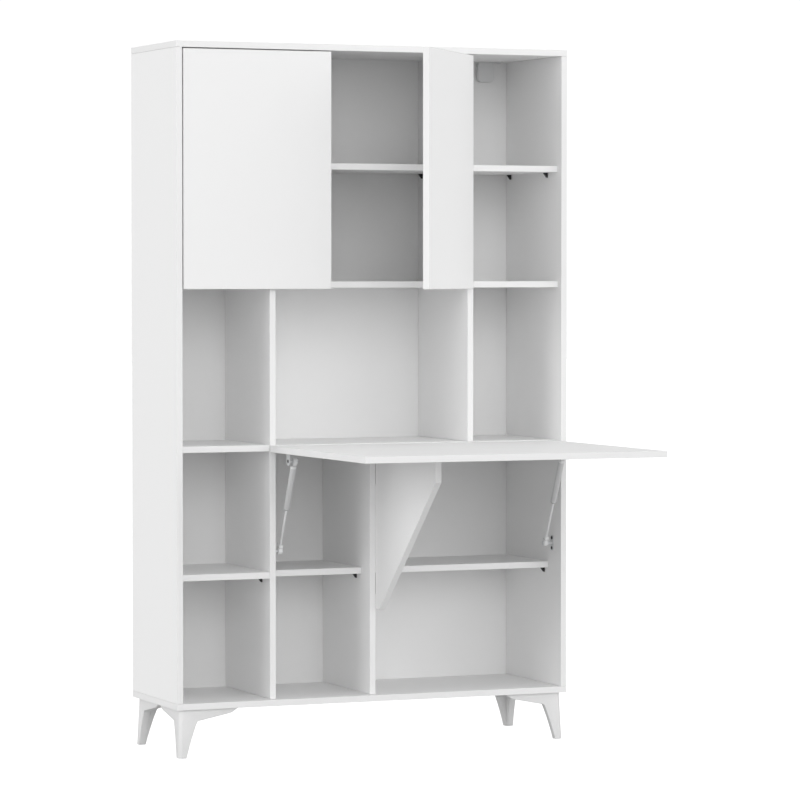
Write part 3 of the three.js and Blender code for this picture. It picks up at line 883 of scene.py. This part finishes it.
@dataclass
class Shelves:
    """The loose shelves and the black pins that they lie on."""

    # how far behind each shelf's front edge its front pins are
    front_pins: dict[str, float] = field(
        default_factory=lambda: {
            "left_lower_shelf": 56 * MM,
            "upper_shelf_wide": 61 * MM,
            "upper_shelf_right": 61 * MM,
            "lower_shelf_middle": 32 * MM,
            "lower_shelf_right": 24 * MM,
        }
    )
    back_pin: float = 30 * MM  # how far in front of a shelf's back edge its back pins are
    reach: float = 12 * MM  # how far a pin stands out of the wall
    drop: float = 12.5 * MM  # how tall its gusset is
    width: float = 7 * MM  # its width along Y
    tip: float = 3 * MM  # how far its lower end stands out of the wall
    gap: float = 0.3 * MM  # the gap between pin and shelf
    rounding: float = 0.6 * MM  # how far its edges are eased

    def build(self) -> None:
        """Builds the shelves, then every pin as one piece."""
        pins = bmesh.new()
        for node, front_pin in self.front_pins.items():
            Board(node).build()
            low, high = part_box(node)
            for y in (low.y + front_pin, high.y - self.back_pin):
                self._pin(pins, Vector((low.x, y, low.z)), 1)
                self._pin(pins, Vector((high.x, y, low.z)), -1)
        finish_piece("shelf_pins", pins, (BLACK_PLASTIC,), "carcass")

    def _pin(self, pins: BMesh, corner: Vector, way: int) -> None:
        """Adds one wedge-shaped pin with a flat rest.

        Args:
            pins: the mesh that takes it.
            corner: the point where the wall meets the shelf's underside.
            way: +1 where the pin stands out along +X, -1 along -X.
        """
        top = corner.z - self.gap
        middle = Matrix.Translation((corner.x + way * self.reach / 2, corner.y, top - self.drop / 2))
        size = Matrix.Diagonal((self.reach, self.width, self.drop, 1.0))
        verts = bmesh.ops.create_cube(pins, size=1.0, matrix=middle @ size)["verts"]
        outer = [
            vert for vert in verts
            if (vert.co.x - corner.x) * way > self.reach / 2 and vert.co.z < top - self.drop / 2
        ]
        for vert in outer:
            vert.co.x = corner.x + way * self.tip
        edges = {edge for vert in verts for edge in vert.link_edges}
        round_edges(pins, edges, self.rounding, clamp=False)


# ---- feet ---------------------------------------------------------------------------


@dataclass
class Feet:
    """Four moulded corner feet with eased edges."""

    # where they stand
    corners: tuple[str, ...] = ("front_left", "front_right", "back_right", "back_left")
    rounding: float = 1.6 * MM  # how far their edges are eased

    def build(self) -> None:
        """Builds each foot from its CAD solid."""
        for corner in self.corners:
            node = f"foot_{corner}"
            bm = welded_copy(node)
            soften_edges(bm, self.rounding, segments=3, angle=35)
            dress_node(node, "moulding", bm, FOOT_PLASTIC, smooth=30)


# ---- doors --------------------------------------------------------------------------


@dataclass
class Door:
    """A handleless door with edge bands all round, its concealed hinges and its bumpers.

    The door is worked on shut and then turned to how it stands at rest.
    """

    label: str  # left or right
    cup_screw: float = 24 * MM  # distance of a cup's screws from its middle
    base_screw: float = 12.5 * MM  # distance of an arm's screws from its middle
    base_middle: float = 32.5 * MM  # distance of an arm's screws behind its front end
    base_plate: float = 2.5 * MM  # the thickness of an arm's base plate
    bumper_inset: float = 10 * MM  # distance of a bumper from the free corner's edges
    bumper: tuple[float, float] = (4 * MM, 1.6 * MM)  # a bumper's radius and height

    @property
    def body(self) -> str:
        """Returns the door's body."""
        return f"{self.label}_door"

    @property
    def wall_on_right(self) -> bool:
        """Tells whether the hinges are at the door's right edge."""
        return joint_named(f"{self.label}_door_hinge")["axis"][2] > 0

    def opening(self) -> Matrix:
        """Reads how far the door stands open at rest.

        Returns:
            The transform that turns the shut door to how it stands.
        """
        joint = joint_named(f"{self.label}_door_hinge")
        pivot = Vector(joint["pos_m"])
        turn = Matrix.Rotation(math.radians(-joint["range_deg"][0]), 4, Vector(joint["axis"]))
        return Matrix.Translation(pivot) @ turn @ Matrix.Translation(-pivot)

    def build(self) -> None:
        """Builds the slab, the hinges, their screws and the bumpers."""
        open_it = self.opening()
        low, high = self._slab(open_it)
        self._hinges(open_it)
        self._bumpers(open_it, low, high)

    def _slab(self, open_it: Matrix) -> tuple[Vector, Vector]:
        """Builds the slab with its bands.

        Args:
            open_it: the transform from shut to rest.

        Returns:
            The shut slab's lowest and highest corners.
        """
        board = Board(self.body, (Side.LEFT, Side.RIGHT, Side.BOTTOM, Side.TOP), raw=())
        bm = welded_copy(self.body, open_it.inverted())
        low, high = extent(bm)
        board.dress(bm, low, high)
        bmesh.ops.transform(bm, matrix=open_it, verts=bm.verts)
        board.place(bm)
        return low, high

    def _hinges(self, open_it: Matrix) -> None:
        """Dresses the cups, links and arms, and adds their screws.

        Args:
            open_it: the transform from shut to rest.
        """
        cups = ScrewSet(f"{self.label}_cup_screws", self.body)
        arms = ScrewSet(f"{self.label}_arm_screws", "carcass")
        shut = open_it.inverted()
        for place in ("lower", "upper"):
            for part in ("cup", "link", "arm"):
                dress_metal(f"{self.label}_hinge_{part}_{place}")
            cup = welded_copy(f"{self.label}_hinge_cup_{place}", shut)
            low, high = extent(cup)
            cup.free()
            rim = open_it @ Vector(((low.x + high.x) / 2, high.y, (low.z + high.z) / 2))
            cups.add_pair(rim, Vector((0, 0, self.cup_screw)), open_it.to_3x3() @ Side.BACK.vector)
            low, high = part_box(f"{self.label}_hinge_arm_{place}")
            wall, way = (high.x, -1) if self.wall_on_right else (low.x, 1)
            front = low.y + self.base_middle
            middle = Vector((wall + way * self.base_plate, front, (low.z + high.z) / 2))
            arms.add_pair(middle, Vector((0, 0, self.base_screw)), Vector((way, 0, 0)))
        cups.build()
        arms.build()

    def _bumpers(self, open_it: Matrix, low: Vector, high: Vector) -> None:
        """Adds the two soft dots inside the door's free corners.

        Args:
            open_it: the transform from shut to rest.
            low: the shut slab's lowest corner.
            high: the shut slab's highest corner.
        """
        inset = self.bumper_inset
        free_x = low.x + inset if self.wall_on_right else high.x - inset
        name = f"{self.label}_door_bumpers"
        dots = ScrewSet(name, self.body, *self.bumper, Drive.NONE, CLEAR_BUMPER)
        for z in (low.z + inset, high.z - inset):
            dots.add(open_it @ Vector((free_x, high.y, z)), open_it.to_3x3() @ Side.BACK.vector)
        dots.build()


# ---- desk leaf, support and struts --------------------------------------------------


@dataclass
class ButtHinge:
    """One leaf of a butt hinge with its three screws."""

    node: str  # the CAD node
    along: int  # the axis that the barrel runs along
    outward: Side  # the way that the screw heads look
    free: Side  # the side of the barrel that the leaf lies on
    sheet: float = 1.2 * MM  # the leaf's thickness, with what packs it out
    rim: float = 9 * MM  # distance of the screws from the leaf's free edge
    spread: float = 20 * MM  # distance of the outer screws from the middle one
    head: tuple[float, float] = (3 * MM, 0.4 * MM)  # radius and height of a screw's head

    def build(self) -> None:
        """Dresses the leaf and adds its screws."""
        dress_metal(self.node)
        low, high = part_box(self.node)
        out_axis, out_way = self.outward.value
        free_axis, free_way = self.free.value
        spot = (low + high) / 2
        # with the corners swapped, this is the face on the far side from the screw heads
        far_side = self.outward.outermost(high, low)
        spot[out_axis] = far_side + out_way * self.sheet
        spot[free_axis] = self.free.outermost(low, high) - free_way * self.rim
        screws = ScrewSet(f"{self.node}_screws", body_of_node(self.node), *self.head)
        middle = spot[self.along]
        for step in (-1, 0, 1):
            spot[self.along] = middle + step * self.spread
            screws.add(spot, self.outward.vector)
        screws.build()


@dataclass
class DeskLeaf:
    """The fold-out leaf, banded all round, and the hinges under it."""

    node: str = "desk_leaf"  # the CAD board

    def build(self) -> None:
        """Builds the leaf and its hinges."""
        Board(self.node, (Side.FRONT, Side.BACK, Side.LEFT, Side.RIGHT), raw=()).build()
        packed = ButtHinge.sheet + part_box("desk_board")[0].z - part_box(self.node)[0].z
        for place in ("left", "right"):
            ButtHinge(f"leaf_hinge_fixed_{place}", 0, Side.BOTTOM, Side.BACK, packed).build()
            ButtHinge(f"leaf_hinge_moving_{place}", 0, Side.BOTTOM, Side.FRONT).build()


@dataclass
class SwingSupport:
    """The wedge board that carries the leaf, and its two hinges."""

    node: str = "swing_support"  # the CAD board
    band: float = Board.band  # the edge band's thickness
    seam: float = Board.seam  # the width of the glue line behind it
    rounding: float = Board.rounding  # how far its edges are eased
    screw_rim: float = 5 * MM  # distance of the moving hinge leaves' screws from the free edge
    screw_spread: float = 17 * MM  # distance of the outer screws from the middle one

    def build(self) -> None:
        """Builds the wedge with a band all round, and the hinges."""
        bm = welded_copy(self.node)
        bm.normal_update()
        for face in bm.faces:
            face.material_index = int(abs(face.normal.x) <= ALONG)
        broad = [face for face in bm.faces if face.material_index == 0]
        for index, width in ((1, self.band), (2, self.seam)):
            for face in bmesh.ops.inset_individual(bm, faces=broad, thickness=width)["faces"]:
                face.material_index = index
        soften_edges(bm, self.rounding, angle=20)
        dress_node(self.node, "board", bm, LAMINATE, EDGE_BAND, BAND_SEAM)
        spread = self.screw_spread
        for place in ("lower", "upper"):
            fixed, moving = (f"support_hinge_{part}_{place}" for part in ("fixed", "moving"))
            ButtHinge(fixed, 2, Side.RIGHT, Side.BACK, spread=spread).build()
            ButtHinge(moving, 2, Side.BACK, Side.RIGHT, rim=self.screw_rim, spread=spread).build()


@dataclass
class GasStrut:
    """A gas strut with its eyes, its gland, its mounts and their dark screws."""

    label: str  # left or right
    eye_length: float = 19.2 * MM  # how far an eye's plastic reaches from its pivot
    plate_screw: float = 13.2 * MM  # distance of the wall plate's screws from its stud
    flange_screw: float = 14.5 * MM  # distance of the leaf bracket's screws from its middle
    ear_radius: float = 11 * MM  # the radius of the leaf bracket's ear
    eye_radius: float = 8 * MM  # the radius of the strut's eyes
    plate_thick: float = 2 * MM  # the wall plate's thickness
    flange_thick: float = 1.8 * MM  # the leaf bracket's thickness
    # the inner radius, outer radius and height of the seal
    gland: tuple[float, float, float] = (3.4 * MM, 5.4 * MM, 1.2 * MM)
    # the size of a spring clip, across, along the pin and along the strut
    clip: tuple[float, float, float] = (11.2 * MM, 13 * MM, 1.6 * MM)
    clip_place: float = 11 * MM  # distance of a clip from its pivot
    clip_rounding: float = 0.6 * MM  # how far a clip's edges are eased
    rod_rounding: float = 0.8 * MM  # how far the rod's end and its eye's edges are eased
    # radius and height of the wall plate's screw heads
    plate_head: tuple[float, float] = (4.6 * MM, 1.8 * MM)
    flange_head: tuple[float, float] = (4 * MM, 1.4 * MM)  # the same of the leaf bracket's screws
    rivet_head: tuple[float, float] = (4.4 * MM, 1.2 * MM)  # the same of the rivet in the bracket's ear

    @property
    def way(self) -> int:
        """Returns +1 where the strut stands off a wall along +X, -1 along -X."""
        return 1 if self.label == "left" else -1

    def stand(self) -> Matrix:
        """Reads where the strut stands and how it leans.

        Returns:
            The transform from the strut's own frame, with +Z up the rod.
        """
        pivot = Vector(joint_named(f"strut_pivot_{self.label}")["pos_m"])
        along = Vector(joint_named(f"strut_slide_{self.label}")["axis"])
        return Matrix.Translation(pivot) @ Matrix.Rotation(math.atan2(-along.y, along.z), 4, "X")

    def build(self) -> None:
        """Builds the rod, the tube, the gland and the mounts."""
        stand = self.stand()
        self._rod(stand)
        self._tube(stand)
        self._mounts()

    def _rod(self, stand: Matrix) -> None:
        """Dresses the rod, chromed above its plastic eye.

        Args:
            stand: the strut's transform.
        """
        node = f"strut_rod_{self.label}"
        bm = welded_copy(node, stand.inverted())
        cut_across(bm, 2, self.eye_length)
        for face in bm.faces:
            face.material_index = int(face.calc_center_median().z > self.eye_length)
        soften_edges(bm, self.rod_rounding, angle=60)
        bmesh.ops.transform(bm, matrix=stand, verts=bm.verts)
        dress_node(node, "dressed", bm, EYE_PLASTIC, CHROME, smooth=35)

    def _tube(self, stand: Matrix) -> None:
        """Dresses the painted tube below its plastic eye, and adds the gland.

        Args:
            stand: the strut's transform.
        """
        node = f"strut_tube_{self.label}"
        bm = welded_copy(node, stand.inverted())
        low, high = extent(bm)
        eye_start = high.z - self.eye_length - self.eye_radius
        cut_across(bm, 2, eye_start)
        for face in bm.faces:
            face.material_index = int(face.calc_center_median().z < eye_start)
        bmesh.ops.transform(bm, matrix=stand, verts=bm.verts)
        dress_node(node, "dressed", bm, EYE_PLASTIC, STRUT_PAINT, smooth=35)
        self._gland(stand, low.z)
        self._clip("low", f"strut_rod_{self.label}", stand, self.clip_place)
        self._clip("high", node, stand, high.z - self.eye_radius - self.clip_place)

    def _gland(self, stand: Matrix, start: float) -> None:
        """Adds the dark seal that the rod slides through.

        Args:
            stand: the strut's transform.
            start: the tube's lower end, up the strut.
        """
        bm = bmesh.new()
        inner, outer, height = self.gland
        half_diagonal = (outer - inner) / 2 * math.sqrt(2)
        section = bmesh.ops.create_circle(bm, segments=4, radius=half_diagonal)["verts"]
        turn = Matrix.Rotation(math.radians(90), 4, "X") @ Matrix.Rotation(math.radians(45), 4, "Z")
        bmesh.ops.transform(bm, matrix=turn, verts=section)
        bmesh.ops.scale(bm, vec=(1, 1, height / (outer - inner)), verts=section)
        bmesh.ops.translate(bm, vec=((inner + outer) / 2, 0, start - height / 2), verts=section)
        bmesh.ops.spin(
            bm, geom=[*bm.verts, *bm.edges], cent=(0, 0, 0), axis=(0, 0, 1), dvec=(0, 0, 0),
            angle=math.tau, steps=32, use_merge=True, use_duplicate=False,
        )
        bmesh.ops.remove_doubles(bm, verts=bm.verts, dist=WELD)
        bmesh.ops.recalc_face_normals(bm, faces=bm.faces)
        bmesh.ops.transform(bm, matrix=stand, verts=bm.verts)
        finish_piece(
            f"strut_gland_{self.label}", bm, (BLACK_PLASTIC,), f"strut_tube_{self.label}", smooth=40
        )

    def _clip(self, end: str, body: str, stand: Matrix, height: float) -> None:
        """Adds the spring clip across one eye.

        Args:
            end: low or high.
            body: the body that carries it.
            stand: the strut's transform.
            height: the clip's place up the strut.
        """
        bm = bmesh.new()
        size = Matrix.Diagonal((*self.clip, 1.0))
        place = Matrix.Translation((0, 0, height))
        bmesh.ops.create_cube(bm, size=1.0, matrix=stand @ place @ size)
        soften_edges(bm, self.clip_rounding, segments=3)
        finish_piece(f"strut_clip_{end}_{self.label}", bm, (NICKEL,), body, smooth=50)

    def _mounts(self) -> None:
        """Dresses the wall plate and the leaf bracket, and adds their dark screws."""
        off_wall = Vector((self.way, 0, 0))
        plate, bracket = (f"strut_mount_{end}_{self.label}" for end in ("low", "high"))
        for node in (plate, bracket):
            dress_metal(node, "coated", BRACKET_COAT)
        low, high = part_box(plate)
        middle = (low + high) / 2
        middle.x = (low.x if self.way > 0 else high.x) + self.way * self.plate_thick
        heads = self._heads("plate_screws", plate, self.plate_head)
        heads.add_pair(middle, Vector((0, 0, self.plate_screw)), off_wall)
        heads.build()
        low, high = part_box(bracket)
        middle = (low + high) / 2
        middle.z = high.z - self.flange_thick
        heads = self._heads("bracket_screws", bracket, self.flange_head)
        heads.add_pair(middle, Vector((0, self.flange_screw, 0)), Side.BOTTOM.vector)
        heads.build()
        ear_x = low.x if self.way > 0 else high.x
        rivet = self._heads("ear_rivet", bracket, self.rivet_head)
        rivet.add(Vector((ear_x, middle.y, low.z + self.ear_radius)), -off_wall)
        rivet.build()

    def _heads(self, kind: str, node: str, size: tuple[float, float]) -> ScrewSet:
        """Starts a set of dark heads on one mount.

        Args:
            kind: the middle of the piece's name.
            node: the mount's CAD node.
            size: a head's radius and height.

        Returns:
            The empty set.
        """
        name = f"strut_{kind}_{self.label}"
        return ScrewSet(name, body_of_node(node), *size, finish=DARK_SCREW)


@dataclass
class WallHangers:
    """The two capped wall hangers."""

    labels: tuple[str, ...] = ("left", "right")  # their sides
    rounding: float = 1.2 * MM  # how far the caps' edges are eased

    def build(self) -> None:
        """Dresses each hanger."""
        for label in self.labels:
            node = f"wall_hanger_{label}"
            bm = welded_copy(node)
            soften_edges(bm, self.rounding, angle=50)
            dress_node(node, "cap", bm, HANGER_PLASTIC, smooth=35)


# ---- studio -------------------------------------------------------------------------


@dataclass(frozen=True)
class SoftLight:
    """A broad, distant light."""

    name: str  # its name
    bearing: float  # where it stands, in degrees from the front towards the left
    height: float  # its height above the horizon, in degrees
    strength: float  # its brightness
    spread: float  # how wide it looks from the cabinet, in degrees
    away: float = 6.0  # how far off it hangs, which changes nothing in a distant light

    def build(self) -> None:
        """Hangs the light."""
        bearing, height = math.radians(self.bearing), math.radians(self.height)
        level = math.cos(height)
        towards = Vector((-math.sin(bearing) * level, -math.cos(bearing) * level, math.sin(height)))
        data = bpy.data.lights.new(self.name, "SUN")
        data.energy = self.strength
        data.angle = math.radians(self.spread)
        light = bpy.data.objects.new(self.name, data)
        light.location = towards * self.away
        light.rotation_mode = "QUATERNION"
        light.rotation_quaternion = (-towards).to_track_quat("-Z", "Y")
        bpy.context.scene.collection.objects.link(light)


@dataclass
class Studio:
    """Floor, light and camera."""

    # the camera's place from the cabinet's lower left front corner, above the floor
    eye: Vector = field(default_factory=lambda: Vector((-3.1557, -8.8660, 1.2105)))
    yaw: float = 0.401  # how far the camera is turned to the right, in radians
    pitch: float = 0.0333  # how far it looks down, in radians
    lens: float = 170.117  # its focal length in millimetres
    sensor: float = 36.0  # its sensor's width in millimetres
    sky: float = 0.64  # the light that the surroundings cast
    sky_seen: float = 1.05  # their brightness to the camera
    floor_tone: float = 0.4  # how much light the floor sends back
    floor_roughness: float = 0.9  # how matt it is
    glow: float = 0.12  # the light that the floor gives off
    floor_seen: float = 1.0  # what the camera sees it give off
    floor_reach: float = 40.0  # the distance from the floor's middle to its sides
    # the soft lights
    lights: tuple[SoftLight, ...] = (
        SoftLight("left_light", 90, 13, 1.22, 45),
        SoftLight("front_light", 10, 12, 0.77, 40),
        SoftLight("front_right_light", -35, 5, 0.68, 50),
        SoftLight("right_light", -80, 30, 0.41, 50),
    )

    def build(self) -> None:
        """Builds the whole set."""
        self._camera()
        self._floor()
        self._world()
        for light in self.lights:
            light.build()
        bpy.context.scene.view_settings.view_transform = "Standard"

    def _camera(self) -> None:
        """Places the camera from the cabinet's lower left front corner."""
        corner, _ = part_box("bottom_panel")
        data = bpy.data.cameras.new("studio_camera")
        data.lens = self.lens
        data.sensor_width = self.sensor
        data.clip_end = 100.0
        camera = bpy.data.objects.new("studio_camera", data)
        camera.location = Vector((corner.x, corner.y, 0.0)) + self.eye
        level = math.cos(self.pitch)
        look = Vector((math.sin(self.yaw) * level, math.cos(self.yaw) * level, -math.sin(self.pitch)))
        camera.rotation_mode = "QUATERNION"
        camera.rotation_quaternion = look.to_track_quat("-Z", "Y")
        bpy.context.scene.collection.objects.link(camera)
        bpy.context.scene.camera = camera

    def _floor(self) -> None:
        """Lays the plain pale floor, lit evenly where the camera sees it."""
        bm = bmesh.new()
        bmesh.ops.create_grid(bm, x_segments=1, y_segments=1, size=self.floor_reach)
        mesh = bpy.data.meshes.new("floor")
        bm.to_mesh(mesh)
        bm.free()
        material = bpy.data.materials.new("pale_floor")
        material.use_nodes = True
        tree = material.node_tree
        feed(tree, tree.nodes["Principled BSDF"], {
            "Base Color": (self.floor_tone,) * 3,
            "Roughness": self.floor_roughness,
            "Emission Color": WHITE,
            "Emission Strength": self._brightness(tree, self.glow, self.floor_seen),
        })
        mesh.materials.append(material)
        floor = bpy.data.objects.new("floor", mesh)
        bpy.context.scene.collection.objects.link(floor)
        floor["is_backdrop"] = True

    def _world(self) -> None:
        """Sets even white surroundings, brighter to the camera than to the cabinet."""
        world = bpy.data.worlds.new("studio_world")
        world.use_nodes = True
        tree = world.node_tree
        strength = self._brightness(tree, self.sky, self.sky_seen)
        feed(tree, tree.nodes["Background"], {"Color": WHITE, "Strength": strength})
        bpy.context.scene.world = world

    @staticmethod
    def _brightness(tree: Tree, cast: float, seen: float) -> Socket:
        """Makes one value for what the camera sees and another for the light that is cast.

        Args:
            tree: the tree.
            cast: the value for light that falls on things.
            seen: the value that the camera sees.

        Returns:
            The socket with the value.
        """
        path = add_node(tree, "LightPath")
        extra = arithmetic(tree, "MULTIPLY", path.outputs["Is Camera Ray"], seen - cast)
        return arithmetic(tree, "ADD", extra, cast)


def corners(bounds: tuple[Vector, Vector]) -> list[list[float]]:
    """Returns a box's two corners as plain lists."""
    return [list(corner) for corner in bounds]


def main() -> None:
    """Builds the cabinet's looks and the studio round it."""
    logging.basicConfig(level=logging.INFO, format="%(name)s: %(message)s")
    cad_box = corners(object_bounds())
    Studio().build()
    sections = (
        Carcass(), Shelves(), Feet(), Door("left"), Door("right"), DeskLeaf(), SwingSupport(),
        GasStrut("left"), GasStrut("right"), WallHangers(),
    )
    for section in sections:
        section.build()
        LOG.info("%s done", type(section).__name__)
    {"cad": cad_box, "visual": corners(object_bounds())}


if __name__ == "__main__":
    main()
